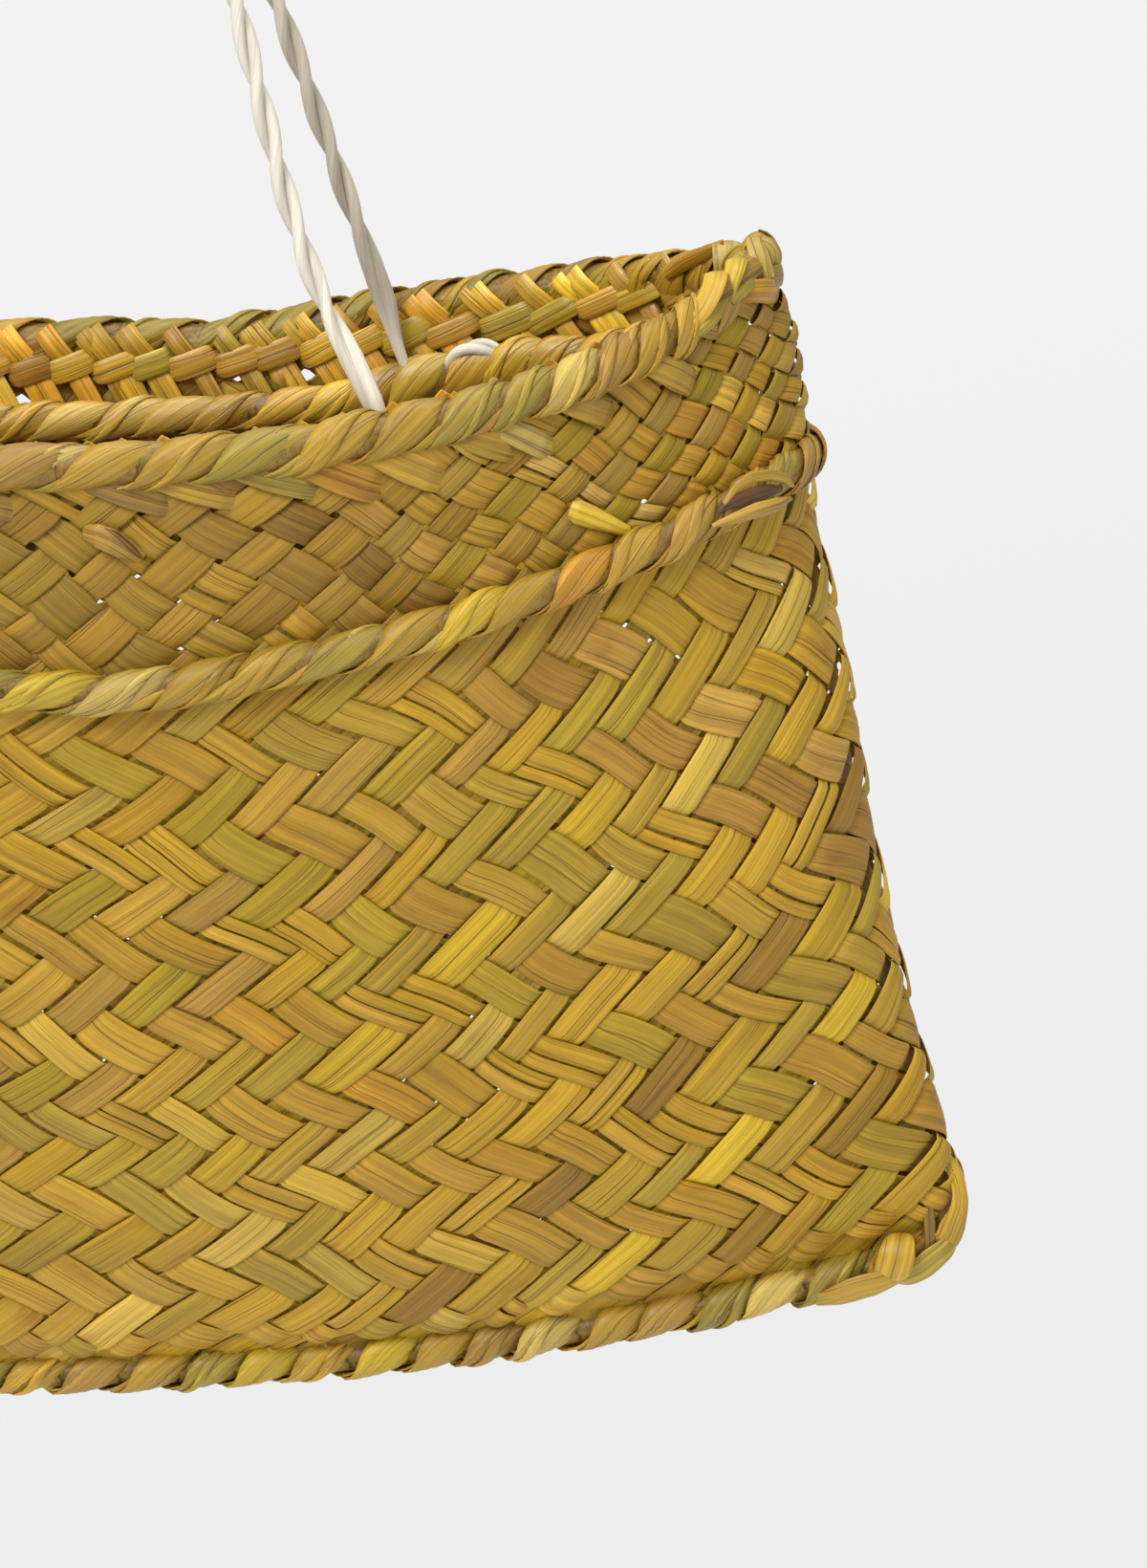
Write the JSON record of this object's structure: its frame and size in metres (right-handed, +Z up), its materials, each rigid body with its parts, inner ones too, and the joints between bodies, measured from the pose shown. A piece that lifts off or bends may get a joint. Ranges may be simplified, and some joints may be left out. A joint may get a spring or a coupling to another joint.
{
  "type": "woven carrying bag",
  "caption": "Flat woven leaf bag that flares to a plaited base, with an upswept plaited rim, a plaited ridge below it and twisted cord handles that meet over a peg.",
  "frame": {"origin": "the top of the peg or hook that both handles hang over, halfway between the two handles and in the middle of the bag's width", "axes": "+X along the bag's width to the right, +Y from the front wall to the back wall, +Z up"},
  "size_m": [0.3522, 0.1032, 0.4048],
  "materials": {
    "twill_leaf": "dried flax leaf strips in a twill weave, golden yellow to olive and tan, satin",
    "check_leaf": "dried flax leaf strips in a plain check weave, golden yellow to olive and tan, satin",
    "plait_leaf": "dried flax leaf strips plaited in three, golden yellow, satin",
    "cream_cord": "two-ply twisted plant fibre cord, cream, matte"
  },
  "bodies": {
    "bag": {"front_twill_wall": "twill_leaf", "back_twill_wall": "twill_leaf", "left_twill_fold": "twill_leaf", "right_twill_fold": "twill_leaf", "front_check_band": "check_leaf", "back_check_band": "check_leaf", "left_check_fold": "check_leaf", "right_check_fold": "check_leaf", "front_rim_facing": "check_leaf", "back_rim_facing": "check_leaf", "front_rim_plait": "plait_leaf", "back_rim_plait": "plait_leaf", "left_rim_corner": "plait_leaf", "right_rim_corner": "plait_leaf", "front_outer_plait": "plait_leaf", "back_outer_plait": "plait_leaf", "left_outer_plait": "plait_leaf", "right_outer_plait": "plait_leaf", "front_inner_plait": "plait_leaf", "back_inner_plait": "plait_leaf", "base_plait": "plait_leaf", "left_base_ear": "plait_leaf", "right_base_ear": "plait_leaf", "front_left_cord_tail": "cream_cord", "front_right_cord_tail": "cream_cord", "back_left_cord_tail": "cream_cord", "back_right_cord_tail": "cream_cord"},
    "front_handle": {"front_handle_cord": "cream_cord"},
    "back_handle": {"back_handle_cord": "cream_cord"}
  },
  "joints": [
    {"name": "front_handle_swing", "type": "hinge", "parent": "bag", "child": "front_handle", "pos_m": [0, -0.03944, -0.16131], "axis": [1, 0, 0], "range_deg": [0, 150]},
    {"name": "back_handle_swing", "type": "hinge", "parent": "bag", "child": "back_handle", "pos_m": [0, 0.03944, -0.16131], "axis": [-1, 0, 0], "range_deg": [0, 150]}
  ]
}
